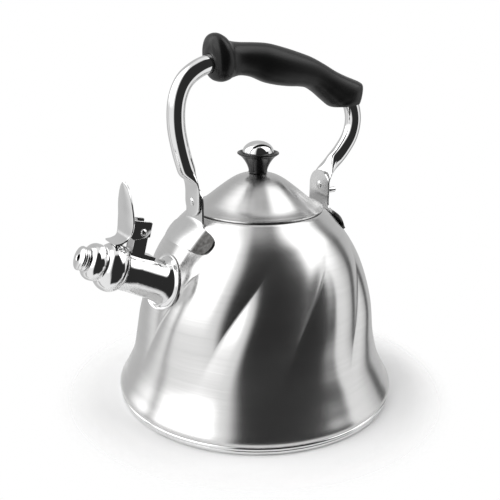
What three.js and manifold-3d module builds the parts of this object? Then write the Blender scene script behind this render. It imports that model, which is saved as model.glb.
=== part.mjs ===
// Stovetop whistling kettle: a fluted bell body, a lift-off lid with a knob, a handle that
// swings on two welded brackets, and a sprung whistle cap that flips up off the spout.
// Millimetres, +Z up. The origin is the centre of the underside. The spout points to -X, and
// the line through the two handle pivots runs along X.
import * as THREE from 'three';
import { mergeVertices } from 'three/addons/utils/BufferGeometryUtils.js';
import Module from 'manifold-3d';

const wasm = await Module();
wasm.setup();

// ---------------------------------------------------------------- driving dimensions
const SHEET = 1.0;
const GAP = 0.3;
const RIM_RADIUS = 110;
const BODY_HEIGHT = 147;
const MOUTH_RADIUS = 46;
const COLLAR_DEPTH = 5.5;

// How far the pan under the body is deeper than the body's own edge. All pieces but the base's
// are drawn from the level of the body's edge, and lifted by this.
const BASE_LIFT = 2.4;

const FLUTES = 10;
const FLUTE_DEPTH = 3.2;
const FLUTE_WALL = 0.4;
const FLUTE_LOW = 28;
const FLUTE_HIGH = 130;
const FLUTE_PHASE = -1;

const SPOUT_RISE = THREE.MathUtils.degToRad(25.2);
const SPOUT_ROOT = new THREE.Vector3(-75, 0, 97.9);
const SPOUT_RADIUS = 14;
const SPOUT_END = 44;

const HINGE_ALONG = 41;
const HINGE_ABOVE = 30.6;
const HINGE_HOLE_RADIUS = 2;
const PIN_RADIUS = 1.7;
const LEVER_X = -109.5;
const LEVER_TOP = 178.5;
const LEVER_HALF_WIDTH = 13;
const LEVER_SHEET = 1.2;

const PIVOT_Z = 158.4;
const FRONT_TAB_X = -56.6;
const REAR_TAB_X = 61.9;
const TAB_HALF_THICKNESS = 0.8;
const TAB_RADIUS = 10.6;
const STRAP_THICKNESS = 1.5;
const STRAP_HALF_WIDTH = 12;
const ARM_RADIUS = 6.5;
const ARM_WALL = 1.2;
const RIVET_RADIUS = 2.5;
const RIVET_ROOM = 0.2;

const LID_SEAT_Z = BODY_HEIGHT + GAP + 0.1;
const LID_RADIUS = 50.6;
const KNOB_Z = 174.4;
const CUP_Z = KNOB_Z + 13.8;
const KNOB_RADIUS = 15.9;

// Body sides are in multiples of the flutes, so that each flute falls on whole facets.
const BODY_SIDES = FLUTES * 6;

// ---------------------------------------------------------------- finishes
const FINISHES = {
  brushed: { color: 0xc9cacc, roughness: 0.32, metalness: 1.0 },
  polished: { color: 0xd9dadc, roughness: 0.08, metalness: 1.0 },
  aluminium: { color: 0xb4b6b8, roughness: 0.45, metalness: 1.0 },
  black: { color: 0x17181a, roughness: 0.42, metalness: 0.0 },
};

const kettle = new THREE.Group();

function addPiece(name, geometry, finish, lift = BASE_LIFT) {
  const raised = geometry.translate(0, 0, lift);
  const piece = new THREE.Mesh(raised, new THREE.MeshStandardMaterial(FINISHES[finish]));
  piece.name = name;
  kettle.add(piece);
}

// ---------------------------------------------------------------- solids
function solid(geometry) {
  const bare = geometry.clone();
  bare.deleteAttribute('normal');
  bare.deleteAttribute('uv');
  const merged = mergeVertices(bare, 1e-4);
  const mesh = new wasm.Mesh({
    numProp: 3,
    vertProperties: new Float32Array(merged.attributes.position.array),
    triVerts: new Uint32Array(merged.index.array),
  });
  mesh.merge();
  return new wasm.Manifold(mesh);
}

function geometryOf(manifold) {
  const mesh = manifold.getMesh();
  const geometry = new THREE.BufferGeometry();
  geometry.setAttribute('position', new THREE.BufferAttribute(new Float32Array(mesh.vertProperties), 3));
  geometry.setIndex(new THREE.BufferAttribute(new Uint32Array(mesh.triVerts), 1));
  return geometry;
}

// A turned piece about Z from [radius, height] pairs. A profile off the axis closes on itself.
function turned(profile, sides) {
  const points = profile.map(([radius, height]) => new THREE.Vector2(radius, height));
  const onAxis = profile[0][0] === 0 && profile[profile.length - 1][0] === 0;
  if (!onAxis) points.push(points[0].clone());
  const geometry = new THREE.LatheGeometry(points, sides).rotateX(Math.PI / 2);
  return outwards(geometry);
}

// Turns every face round if the closed shape encloses a negative volume.
function outwards(geometry) {
  const bare = geometry.clone();
  bare.deleteAttribute('normal');
  bare.deleteAttribute('uv');
  const merged = mergeVertices(bare, 1e-4);
  const at = merged.attributes.position;
  const index = merged.index.array;
  const [a, b, c] = [new THREE.Vector3(), new THREE.Vector3(), new THREE.Vector3()];
  let volume = 0;
  for (let i = 0; i < index.length; i += 3) {
    a.fromBufferAttribute(at, index[i]);
    b.fromBufferAttribute(at, index[i + 1]);
    c.fromBufferAttribute(at, index[i + 2]);
    volume += a.dot(b.cross(c));
  }
  if (volume < 0) {
    for (let i = 0; i < index.length; i += 3) {
      [index[i], index[i + 1]] = [index[i + 1], index[i]];
    }
  }
  return merged;
}

// A closed cylinder template whose rings are placed by ringPoint(t, angle), t from 0 to 1.
function lofted(ringPoint, sides, steps) {
  const geometry = new THREE.CylinderGeometry(1, 1, 1, sides, steps);
  const at = geometry.attributes.position;
  for (let i = 0; i < at.count; i += 1) {
    const t = at.getY(i) + 0.5;
    const reach = Math.hypot(at.getX(i), at.getZ(i));
    const edge = ringPoint(t, Math.atan2(at.getZ(i), at.getX(i)));
    const opposite = ringPoint(t, Math.atan2(-at.getZ(i), -at.getX(i)));
    const placed = reach > 0.5 ? edge : edge.add(opposite).multiplyScalar(0.5);
    at.setXYZ(i, placed.x, placed.y, placed.z);
  }
  return outwards(geometry);
}

function outline(points) {
  return new THREE.Shape(points.map(([u, v]) => new THREE.Vector2(u, v)));
}

// A plate drawn in the YZ plane, as [y, z], and as thick as the stretch from x0 to x1.
function plateAcrossX(shape, x0, x1, curveSegments = 10) {
  const geometry = new THREE.ExtrudeGeometry(shape, {
    depth: x1 - x0,
    bevelEnabled: false,
    curveSegments,
  });
  const toYZ = new THREE.Matrix4().makeBasis(
    new THREE.Vector3(0, 1, 0),
    new THREE.Vector3(0, 0, 1),
    new THREE.Vector3(1, 0, 0),
  );
  return solid(geometry.applyMatrix4(toYZ).translate(x0, 0, 0));
}

// A plate drawn as [x, z], from y0 to y1.
function plateAcrossY(points, y0, y1) {
  const geometry = new THREE.ExtrudeGeometry(outline(points), { depth: y1 - y0, bevelEnabled: false });
  return solid(geometry.rotateX(Math.PI / 2).translate(0, y1, 0));
}

// The space a pivot rivet takes up through the sheet at x.
function rivetHole(x) {
  const rod = turned(cylinderProfile(RIVET_RADIUS + RIVET_ROOM, -6, 6), 16);
  return solid(rod.rotateY(Math.PI / 2).translate(x, 0, PIVOT_Z));
}

// ---------------------------------------------------------------- body
const BODY_CURVE = new THREE.SplineCurve([
  [RIM_RADIUS, 4.4], [109.5, 8], [104.6, 17], [98.2, 32], [94.8, 52], [90.5, 80],
  [79.9, 110], [66, 132], [51.4, 146.6],
].map(([radius, height]) => new THREE.Vector2(radius, height)));
const BODY_ROWS = 14;
const BODY_OUTLINE = BODY_CURVE.getPoints(BODY_ROWS);

function bodyOffset(distance) {
  return BODY_OUTLINE.map((point, i) => {
    const tangent = BODY_CURVE.getTangent(i / BODY_ROWS);
    return [point.x + tangent.y * distance, point.y - tangent.x * distance];
  });
}

// Each flute falls slowly to a crisp line and rises faster past it, fading out up and down.
function fluteDepth(turn, height) {
  const across = turn - Math.floor(turn);
  const rise = 1 - across / FLUTE_WALL;
  const fall = (across - FLUTE_WALL) / (1 - FLUTE_WALL);
  const section = Math.max(rise, fall) ** 2;
  const along = THREE.MathUtils.clamp((height - FLUTE_LOW) / (FLUTE_HIGH - FLUTE_LOW), 0, 1);
  return FLUTE_DEPTH * section * Math.sin(Math.PI * along) ** 1.3;
}

function fluteTwist(height) {
  const along = THREE.MathUtils.clamp((height - 50) / 82, -0.5, 1);
  return THREE.MathUtils.degToRad(19.8 * along + 14.2 * along * along);
}

function fluted(geometry) {
  const at = geometry.attributes.position;
  const phase = THREE.MathUtils.degToRad(FLUTE_PHASE);
  for (let i = 0; i < at.count; i += 1) {
    const [x, y, z] = [at.getX(i), at.getY(i), at.getZ(i)];
    const angle = Math.atan2(y, x);
    const turn = (angle * FLUTES) / (2 * Math.PI) + 1e-6;
    const radius = Math.hypot(x, y) - fluteDepth(turn, z);
    const turnedTo = angle + fluteTwist(z) + phase;
    at.setXYZ(i, radius * Math.cos(turnedTo), radius * Math.sin(turnedTo), z);
  }
  return geometry;
}

// The space inside the body's outer face, grown by distance: what a welded piece is cut by.
function bodyBlock(distance) {
  const side = bodyOffset(distance);
  const profile = [[0, 0], [side[0][0], 0], ...side, [0, side[side.length - 1][1]]];
  return solid(fluted(turned(profile, BODY_SIDES)));
}

function spoutAligned(geometry) {
  const along = spoutDirection();
  const turn = new THREE.Quaternion().setFromUnitVectors(new THREE.Vector3(0, 0, 1), along);
  return geometry.applyQuaternion(turn).translate(SPOUT_ROOT.x, SPOUT_ROOT.y, SPOUT_ROOT.z);
}

function spoutDirection() {
  return new THREE.Vector3(-Math.cos(SPOUT_RISE), 0, Math.sin(SPOUT_RISE));
}

// A place by its distance along the spout's axis and above it, as [x, z].
function spoutPlace(along, above) {
  const [c, s] = [Math.cos(SPOUT_RISE), Math.sin(SPOUT_RISE)];
  return [SPOUT_ROOT.x - along * c + above * s, SPOUT_ROOT.z + along * s + above * c];
}

function makeBody() {
  const outer = bodyOffset(0);
  const inner = bodyOffset(-SHEET).reverse();
  inner.shift();
  inner.pop();
  const profile = [
    [RIM_RADIUS - 0.4, 3.5],
    ...outer,
    [50.6, BODY_HEIGHT],
    [MOUTH_RADIUS - 0.5, BODY_HEIGHT],
    [MOUTH_RADIUS - 0.5, BODY_HEIGHT - COLLAR_DEPTH],
    [MOUTH_RADIUS + 0.5, BODY_HEIGHT - COLLAR_DEPTH],
    [MOUTH_RADIUS + 0.5, BODY_HEIGHT - SHEET],
    [49.9, BODY_HEIGHT - SHEET],
    ...inner,
    [RIM_RADIUS - 1.6, 3.5],
  ];
  const bore = solid(spoutAligned(turned(cylinderProfile(SPOUT_RADIUS - SHEET, -14, 14), 24)));
  addPiece('body_shell', geometryOf(solid(fluted(turned(profile, BODY_SIDES))).subtract(bore)), 'brushed');
}

function cylinderProfile(radius, low, high) {
  return [[0, low], [radius, low], [radius, high], [0, high]];
}

// Under the body: the inner floor, the heat-spreading core and the pan that encloses it.
function makeBase() {
  const capRadius = RIM_RADIUS - 1.4;
  const coreRadius = capRadius - SHEET - GAP;
  const capTop = 3.2 + BASE_LIFT;
  const coreTop = 4.3 + BASE_LIFT;
  const floorLow = coreTop + GAP;
  const cap = [[0, 0], [capRadius - 0.6, 0], [capRadius, 0.6], [capRadius, capTop]];
  cap.push([capRadius - SHEET, capTop], [capRadius - SHEET, SHEET], [0, SHEET]);
  addPiece('base_cap', turned(cap, BODY_SIDES), 'polished', 0);
  const core = turned(cylinderProfile(coreRadius, SHEET + GAP, coreTop), BODY_SIDES);
  addPiece('base_core', core, 'aluminium', 0);
  const floor = turned(cylinderProfile(coreRadius - 0.6, floorLow, floorLow + SHEET), BODY_SIDES);
  addPiece('base_floor', floor, 'brushed', 0);
}

// ---------------------------------------------------------------- spout and its bracket
function makeSpout() {
  const rim = [[SPOUT_RADIUS, SPOUT_END - 0.4], [SPOUT_RADIUS - 0.4, SPOUT_END]];
  const flare = [[21, 3.5], [19.6, 8], [16.8, 10.6], [15, 13.4], [SPOUT_RADIUS, 18]];
  const bore = SPOUT_RADIUS - SHEET;
  const inside = [[bore, SPOUT_END], [bore, 17.5], [14, 12.6], [15.7, 9.9], [18.5, 7], [19.8, 3.5]];
  const profile = [...flare, ...rim, ...inside];
  const tube = solid(spoutAligned(turned(profile, 24)));
  addPiece('spout_tube', geometryOf(tube.subtract(bodyBlock(GAP))), 'polished');
}

function hingeHole(radius) {
  const [x, z] = spoutPlace(HINGE_ALONG, HINGE_ABOVE);
  const rod = turned(cylinderProfile(radius, -12, 12), 16).rotateX(Math.PI / 2);
  return solid(rod.translate(x, 0, z));
}

// A plate drawn as [along, above] in the spout's own plane, from y0 to y1.
function plateBesideSpout(points, y0, y1) {
  return plateAcrossY(points.map(([along, above]) => spoutPlace(along, above)), y0, y1);
}

function roundEnd(along, above, radius, from, to, steps = 6) {
  return Array.from({ length: steps + 1 }, (_, i) => {
    const angle = THREE.MathUtils.degToRad(from + ((to - from) * i) / steps);
    return [along + radius * Math.cos(angle), above + radius * Math.sin(angle)];
  });
}

function makeSpoutBracket() {
  const [inner, outer] = [4.6, 5.8];
  const ear = [[33, 14], [43, 14], ...roundEnd(HINGE_ALONG, HINGE_ABOVE, 5, -10, 190)];
  let bracket = plateBesideSpout([[24, 11], [43, 11], [43, 16], [24, 16]], -outer, outer);
  bracket = bracket.add(plateBesideSpout(ear, inner, outer)).add(plateBesideSpout(ear, -outer, -inner));
  const tube = solid(spoutAligned(turned(cylinderProfile(SPOUT_RADIUS + GAP, 10, 50), 24)));
  bracket = bracket.subtract(tube).subtract(hingeHole(HINGE_HOLE_RADIUS));
  addPiece('spout_bracket', geometryOf(bracket), 'polished');
}

function makeHingePin() {
  const [x, z] = spoutPlace(HINGE_ALONG, HINGE_ABOVE);
  const half = [[PIN_RADIUS, 7.8], [2.7, 7.8], [2.5, 8.5], [1.5, 8.9]];
  const profile = [[0, -8.9], ...half.map(([r, y]) => [r, -y]).reverse(), ...half, [0, 8.9]];
  addPiece('hinge_pin', turned(profile, 16).rotateX(Math.PI / 2).translate(x, 0, z), 'polished');
}

// A torsion spring on the pin, with one leg down on the bracket and one behind the lever.
function makeHingeSpring() {
  const [x, z] = spoutPlace(HINGE_ALONG, HINGE_ABOVE);
  const [coil, wire, turns, pitch] = [3.3, 0.45, 4, 1.3];
  const [start, end] = [-0.3 * Math.PI, -0.3 * Math.PI + turns * 2 * Math.PI];
  const place = (radius, angle, y) => new THREE.Vector3(
    x + radius * Math.cos(angle), y, z + radius * Math.sin(angle));
  const low = (-turns * pitch) / 2;
  const points = [place(coil, start, low).add(new THREE.Vector3(-6, 0, -7.5))];
  for (let i = 0; i <= turns * 8; i += 1) {
    const along = i / (turns * 8);
    points.push(place(coil, start + (end - start) * along, low + turns * pitch * along));
  }
  points.push(place(coil, end, -low).add(new THREE.Vector3(1.5, 0, 5)));
  const geometry = new THREE.ExtrudeGeometry(circleShape(wire, 5), {
    steps: turns * 8,
    extrudePath: new THREE.CatmullRomCurve3(points),
    bevelEnabled: false,
  });
  addPiece('hinge_spring', outwards(geometry), 'polished');
}

function circleShape(radius, sides) {
  return outline(Array.from({ length: sides }, (_, i) => {
    const angle = (i * 2 * Math.PI) / sides;
    return [radius * Math.cos(angle), radius * Math.sin(angle)];
  }));
}

// ---------------------------------------------------------------- whistle
const CAP_OUTSIDE = [
  [14.4, 44.5], [16.2, 46], [17.3, 48.6], [17.6, 51.5], [16.9, 55], [15, 58], [12.9, 60],
  [12.6, 61.4], [12.9, 64], [12.9, 67], [11.7, 69.3], [9.6, 70.9], [2.6, 70.9],
];

function makeWhistleCap() {
  const inside = [
    [2.6, 70], [9.1, 70], [10.9, 68.7], [12, 66.5], [12, 64], [11.7, 61.6], [12, 59.6],
    [14.2, 57.4], [16, 54.6], [16.7, 51.4], [16.4, 49], [15.4, 46.6], [13.2, 44.5],
  ];
  addPiece('whistle_cap', spoutAligned(turned([...CAP_OUTSIDE, ...inside], 20)), 'polished');
  const tip = [
    [2.3, 71.2], [7.7, 71.2], [8.4, 72], [8.4, 73.3], [7.9, 73.8], [8.4, 74.3],
    [8.4, 75.8], [7.4, 77], [2.3, 77],
  ];
  addPiece('whistle_tip', spoutAligned(turned(tip, 18)), 'polished');
  makeWhistlePlate('whistle_plate_rear', 11.3, 60.6);
  makeWhistlePlate('whistle_plate_front', 11.6, 65);
}

function makeWhistlePlate(name, radius, along) {
  const [hole, sheet] = [1.8, 0.6];
  const disc = [[hole, along], [radius, along], [radius, along + sheet], [hole, along + sheet]];
  addPiece(name, spoutAligned(turned(disc, 18)), 'polished');
}

// The tongue's middle line, from the thumb's end down and forwards over the cap, as [x, z].
const LEVER_LINE = [
  [LEVER_X, LEVER_TOP + 1], [LEVER_X, 150], [LEVER_X - 0.7, 144], [LEVER_X - 3, 139.8],
  [LEVER_X - 7, 137.9], [LEVER_X - 11.5, 137.6],
];
// The tongue's edge from the foot to the top, as [half width, height].
const LEVER_EDGE = [
  [8, 136], [9.5, 140], [12, 145], [LEVER_HALF_WIDTH, 151], [12.7, 158], [11.6, 164],
  [10.2, 168], [8.6, 172], [6.8, 175], [4, 177.4], [1, LEVER_TOP],
];
const LEVER_CHEEK = [[-108.9, 153.5], [-92.2, 149.2], [-94.4, 138.4], [-106.8, 138.6], [-108.9, 141]];
const CHEEK_OUTSIDE = 7.4;

function makeWhistleLever() {
  const line = new THREE.SplineCurve(LEVER_LINE.map(([x, z]) => new THREE.Vector2(x, z)));
  const steps = 20;
  const side = (distance) => line.getPoints(steps).map((point, i) => {
    const tangent = line.getTangent(i / steps);
    return [point.x + tangent.y * distance, point.y - tangent.x * distance];
  });
  const band = [...side(LEVER_SHEET / 2), ...side(-LEVER_SHEET / 2).reverse()];
  const edge = LEVER_EDGE.map(([half, height]) => [-half, height]);
  const face = outline([...LEVER_EDGE, ...edge.reverse()]);
  let lever = plateAcrossX(face, -125, -105).intersect(plateAcrossY(band, -20, 20));
  const [outer, inner] = [CHEEK_OUTSIDE, CHEEK_OUTSIDE - LEVER_SHEET];
  for (const [y0, y1] of [[-outer, -inner], [inner, outer]]) {
    lever = lever.add(plateAcrossY(LEVER_CHEEK, y0, y1));
  }
  const sealed = [[0, 30], [14.7, 30], ...CAP_OUTSIDE.map(([r, s]) => [r + GAP, s]), [0, 71]];
  const capBlock = solid(spoutAligned(turned(sealed, 20)));
  lever = lever.subtract(capBlock).subtract(hingeHole(HINGE_HOLE_RADIUS));
  addPiece('whistle_lever', geometryOf(lever), 'polished');
}

// ---------------------------------------------------------------- lid and knob
function makeLid() {
  const dome = new THREE.SplineCurve([
    [LID_RADIUS, LID_SEAT_Z + 0.7], [47.5, 149.6], [41.6, 153], [30.1, 162.2], [21.5, 168.6],
    [14.5, 172.3], [7.6, 173.9],
  ].map(([radius, height]) => new THREE.Vector2(radius, height)));
  const steps = 8;
  const outside = dome.getPoints(steps).map((p) => [p.x, p.y]);
  const inside = outside.map(([radius, height], i) => {
    const tangent = dome.getTangent(i / steps);
    return [radius - tangent.y * SHEET, height + tangent.x * SHEET];
  });
  inside[0] = [LID_RADIUS - 0.6, LID_SEAT_Z];
  const hole = 2.5;
  const top = [[hole, outside[steps][1] + 0.2], [hole, outside[steps][1] + 0.2 - SHEET]];
  addPiece('lid_shell', turned([...outside, ...top, ...inside.reverse()], 28), 'brushed');
  const reach = MOUTH_RADIUS - 0.5 - 0.5;
  const skirt = [
    [reach, 139.5], [reach, BODY_HEIGHT + 0.2], [reach - 0.5, BODY_HEIGHT + 1.6],
    [reach - 1.4, BODY_HEIGHT + 1.6], [reach - 1, BODY_HEIGHT + 0.2], [reach - 1, 139.5],
  ];
  addPiece('lid_skirt', turned(skirt, 28), 'brushed');
}

function makeKnob() {
  const foot = [
    [2.5, KNOB_Z], [7.2, KNOB_Z], [7.1, KNOB_Z + 2.2], [8.6, KNOB_Z + 6], [10.4, KNOB_Z + 9.3],
    [13, KNOB_Z + 12.2], [KNOB_RADIUS, KNOB_Z + 14.4], [15.4, KNOB_Z + 15.4], [14, KNOB_Z + 15.2],
    [12.5, CUP_Z], [2.5, CUP_Z],
  ];
  addPiece('knob_base', turned(foot, 20), 'black');
  const domeLow = CUP_Z + GAP;
  const dome = [[0, domeLow], [12, domeLow]];
  for (let i = 0; i <= 5; i += 1) {
    const angle = (i * Math.PI) / 10;
    dome.push([i === 5 ? 0 : 12 * Math.cos(angle), domeLow + 1.2 + 8.8 * Math.sin(angle)]);
  }
  addPiece('knob_cap', turned(dome, 20), 'polished');
  const washer = [[2.5, 171.1], [7.2, 171.1], [7.2, 172.3], [2.5, 172.3]];
  addPiece('lid_washer', turned(washer, 20), 'polished');
  const screwHead = [[0, 168.1], [3.4, 168.4], [4.4, 169.7], [4.4, 170.8]];
  const screw = [...screwHead, [2.1, 170.8], [2.1, CUP_Z - GAP], [0, CUP_Z - GAP]];
  addPiece('knob_screw', turned(screw, 16), 'polished');
}

// ---------------------------------------------------------------- handle brackets
// A half-moon foot that wraps the shoulder, and a strap that rises from it to the pivot.
function makeBracket(name, strapFace, side) {
  const foot = new THREE.Shape();
  foot.moveTo(-25, 125.6);
  foot.quadraticCurveTo(0, 127.4, 25, 125.6);
  foot.bezierCurveTo(32, 126, 33, 135, 27, 138.2);
  foot.bezierCurveTo(22, 140.4, 15, 139.4, STRAP_HALF_WIDTH, 146);
  foot.lineTo(-STRAP_HALF_WIDTH, 146);
  foot.bezierCurveTo(-15, 139.4, -22, 140.4, -27, 138.2);
  foot.bezierCurveTo(-33, 135, -32, 126, -25, 125.6);
  const reach = side < 0 ? [-90, strapFace] : [strapFace, 90];
  const wrap = bodyBlock(GAP + SHEET).intersect(plateAcrossX(foot, reach[0], reach[1], 8));
  const strap = new THREE.Shape();
  strap.moveTo(-STRAP_HALF_WIDTH, 138);
  strap.lineTo(STRAP_HALF_WIDTH, 138);
  strap.lineTo(STRAP_HALF_WIDTH, PIVOT_Z);
  strap.absarc(0, PIVOT_Z, STRAP_HALF_WIDTH, 0, Math.PI, false);
  strap.lineTo(-STRAP_HALF_WIDTH, 138);
  const outerFace = strapFace + side * STRAP_THICKNESS;
  const upright = plateAcrossX(strap, Math.min(strapFace, outerFace), Math.max(strapFace, outerFace), 12);
  const bracket = wrap.add(upright).subtract(bodyBlock(GAP)).subtract(rivetHole(strapFace));
  addPiece(name, geometryOf(bracket), 'polished');
}

function makeRivet(name, innerFace, outerFace) {
  const low = Math.min(innerFace, outerFace);
  const high = Math.max(innerFace, outerFace);
  const profile = [
    [0, low - 1], [1.8, low - 0.9], [3.2, low - 0.2], [RIVET_RADIUS, low - 0.1],
    [RIVET_RADIUS, high + 0.1], [3.2, high + 0.2], [1.8, high + 0.9], [0, high + 1],
  ];
  addPiece(name, turned(profile, 16).rotateY(Math.PI / 2).translate(0, 0, PIVOT_Z), 'polished');
}

// ---------------------------------------------------------------- handle
const FRONT_ARM_PATH = [
  [FRONT_TAB_X, PIVOT_Z - TAB_RADIUS], [FRONT_TAB_X, 159], [FRONT_TAB_X, 167], [-57.6, 173],
  [-60.8, 181], [-65.6, 197], [-68.8, 216], [-67.4, 233], [-61.5, 245], [-51, 252.6], [-36, 257.6],
];
const REAR_ARM_PATH = [
  [REAR_TAB_X, PIVOT_Z - TAB_RADIUS], [REAR_TAB_X, 157], [REAR_TAB_X, 163], [65, 169], [72, 175.6],
  [80.6, 183.8], [89, 195.6], [91.8, 208], [89.6, 219], [82.5, 231],
];
// How far above the pivot each arm starts to open out from its flat tab, and how quickly.
const FRONT_ARM_OPENS = 12.4;
const REAR_ARM_OPENS = 8;
const ARM_OPENS_OVER = 12;

function armCurve(path) {
  return new THREE.CatmullRomCurve3(path.map(([x, z]) => new THREE.Vector3(x, 0, z)), false, 'centripetal');
}

// A round tube along the curve that is squeezed flat and wide where it meets the pivot.
function armTube(curve, opens, grow, sides, steps, from, to) {
  return solid(lofted((t, angle) => {
    const along = from + (to - from) * t;
    const centre = curve.getPointAt(along);
    const tangent = curve.getTangentAt(along);
    const flatTop = PIVOT_Z + opens;
    const squeeze = 1 - THREE.MathUtils.smoothstep(centre.z, flatTop, flatTop + ARM_OPENS_OVER);
    const below = THREE.MathUtils.clamp((PIVOT_Z - centre.z) / TAB_RADIUS, 0, 0.985);
    const wide = THREE.MathUtils.lerp(ARM_RADIUS, TAB_RADIUS * Math.sqrt(1 - below * below), squeeze) + grow;
    const thick = THREE.MathUtils.lerp(ARM_RADIUS, TAB_HALF_THICKNESS, squeeze) + grow;
    const [c, s] = [Math.cos(angle), Math.sin(angle)];
    const power = THREE.MathUtils.lerp(1, 0.4, squeeze);
    const outward = thick * Math.sign(c) * Math.abs(c) ** power;
    return new THREE.Vector3(centre.x - tangent.z * outward, wide * s, centre.z + tangent.x * outward);
  }, sides, steps));
}

const ARM_END = 0.985;

function makeArm(name, path, tabX, opens) {
  const curve = armCurve(path);
  const tube = armTube(curve, opens, 0, 12, 26, 0, ARM_END);
  const bore = armTube(curve, opens, -ARM_WALL, 8, 10, 0.36, 1);
  addPiece(name, geometryOf(tube.subtract(bore).subtract(rivetHole(tabX))), 'polished');
}

// Ribs of the grip from front to rear: top point, bottom point and half width.
const GRIP_RIBS = [
  [[-43.2, 271], [-41, 249], 9.5],
  [[-41, 275.2], [-38.6, 244.6], 13],
  [[-37, 276.6], [-34, 243], 14.6],
  [[-32.6, 275], [-29.4, 243.6], 14],
  [[-27.6, 271.6], [-24.6, 245.6], 11.6],
  [[-19, 270.3], [-17.4, 247], 10.6],
  [[-6, 270], [-7.4, 245.6], 11.2],
  [[6, 269.3], [4, 241.4], 12.6],
  [[19, 266.6], [14, 239.2], 13.2],
  [[32, 263.2], [25, 237.8], 13],
  [[45, 259.2], [35.4, 237.2], 12.4],
  [[57, 254], [43.6, 235.8], 11.8],
  [[68.4, 248.4], [50.6, 232.8], 11.6],
  [[79, 244.2], [56.8, 228.6], 11.8],
  [[87.4, 240.8], [61.8, 225], 12],
  [[92.8, 236.4], [65.2, 222.6], 12.2],
  [[95.2, 230.8], [68, 221], 12.2],
  [[94.6, 225], [69.4, 220.2], 11.6],
  [[93.2, 223.2], [71, 220.2], 10.6],
];

function gripCurve(pick) {
  const points = GRIP_RIBS.map(([top, bottom, half]) => {
    const [x, z] = pick === 'top' ? top : bottom;
    return new THREE.Vector3(x, half, z);
  });
  return new THREE.CatmullRomCurve3(points, false, 'centripetal');
}

function makeGrip() {
  const top = gripCurve('top');
  const bottom = gripCurve('bottom');
  const block = solid(lofted((t, angle) => {
    const [high, low] = [top.getPoint(t), bottom.getPoint(t)];
    const [c, s] = [Math.cos(angle), Math.sin(angle)];
    const across = (high.y * Math.sign(s) * Math.abs(s) ** 0.9);
    const upward = 0.5 + 0.5 * Math.sign(c) * Math.abs(c) ** 0.9;
    return new THREE.Vector3(
      THREE.MathUtils.lerp(low.x, high.x, upward), across, THREE.MathUtils.lerp(low.z, high.z, upward));
  }, 18, 22));
  const frontSocket = armTube(armCurve(FRONT_ARM_PATH), FRONT_ARM_OPENS, GAP, 12, 26, 0, 1);
  const rearSocket = armTube(armCurve(REAR_ARM_PATH), REAR_ARM_OPENS, GAP, 12, 26, 0, 1);
  addPiece('handle_grip', geometryOf(block.subtract(frontSocket).subtract(rearSocket)), 'black');
}

// A short stud on the outside of the rear tab.
function makeStopStud() {
  const start = REAR_TAB_X + TAB_HALF_THICKNESS + GAP;
  const profile = [[0, 0], [2.2, 0], [2.2, 9], [1.4, 9.8], [0, 9.8]];
  const stud = turned(profile, 14).rotateY(Math.PI / 2);
  addPiece('stop_stud', stud.translate(start, -4.2, PIVOT_Z - 4.6), 'polished');
}

makeBody();
makeBase();
makeSpout();
makeSpoutBracket();
makeHingePin();
makeHingeSpring();
makeWhistleCap();
makeWhistleLever();
makeLid();
makeKnob();

const frontStrapFace = FRONT_TAB_X + TAB_HALF_THICKNESS + GAP + STRAP_THICKNESS;
const rearStrapFace = REAR_TAB_X - TAB_HALF_THICKNESS - GAP - STRAP_THICKNESS;
makeBracket('front_bracket', frontStrapFace, -1);
makeBracket('rear_bracket', rearStrapFace, 1);
makeRivet('front_rivet', frontStrapFace, FRONT_TAB_X - TAB_HALF_THICKNESS);
makeRivet('rear_rivet', rearStrapFace, REAR_TAB_X + TAB_HALF_THICKNESS);
makeArm('front_arm', FRONT_ARM_PATH, FRONT_TAB_X, FRONT_ARM_OPENS);
makeArm('rear_arm', REAR_ARM_PATH, REAR_TAB_X, REAR_ARM_OPENS);
makeGrip();
makeStopStud();

export default kettle;
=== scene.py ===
"""The visible pieces, finishes and studio of a stovetop whistling kettle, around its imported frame.

Sizes are in millimetres in the classes and turned into metres where a mesh is made. The finishes
read places on a piece, so their sizes are in metres.
"""
import logging
import math
from collections.abc import Callable, Iterable, Iterator
from contextlib import contextmanager
from dataclasses import dataclass, field
from enum import Enum

import bpy
from mathutils import Matrix, Vector


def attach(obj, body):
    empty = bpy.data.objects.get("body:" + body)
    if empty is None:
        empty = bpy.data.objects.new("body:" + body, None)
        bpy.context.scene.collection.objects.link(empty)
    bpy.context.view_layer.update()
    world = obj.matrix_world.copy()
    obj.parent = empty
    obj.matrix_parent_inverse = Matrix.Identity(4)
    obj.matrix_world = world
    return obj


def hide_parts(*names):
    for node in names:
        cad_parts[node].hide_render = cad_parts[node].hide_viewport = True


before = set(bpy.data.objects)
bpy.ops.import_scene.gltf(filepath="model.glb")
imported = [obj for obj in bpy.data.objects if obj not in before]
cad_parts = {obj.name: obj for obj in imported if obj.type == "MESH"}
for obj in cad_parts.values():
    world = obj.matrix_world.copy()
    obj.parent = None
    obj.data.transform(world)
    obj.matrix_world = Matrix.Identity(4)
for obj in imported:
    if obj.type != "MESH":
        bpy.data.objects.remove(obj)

LOG = logging.getLogger("kettle")
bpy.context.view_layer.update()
MM = 0.001
LIFT = 2.4
SAME_PLACE = 1e-6
PATH_STEPS = 24

Pair = tuple[float, float]
Place = tuple[float, float, float]
Piece = bpy.types.Object
Outline = list[Pair]


class Mover(Enum):
    """The bodies that the pieces ride on."""

    KETTLE = "kettle"
    HANDLE = "handle"
    LID = "lid"
    WHISTLE = "whistle"


class Slot(Enum):
    """The record's material slots."""

    BODY = "body_steel"
    LID = "lid_steel"
    POLISHED = "polished_steel"
    SPRING = "spring_steel"
    CORE = "core_aluminium"
    GRIP = "grip_plastic"
    KNOB = "knob_plastic"


# ---- shader sums


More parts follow.
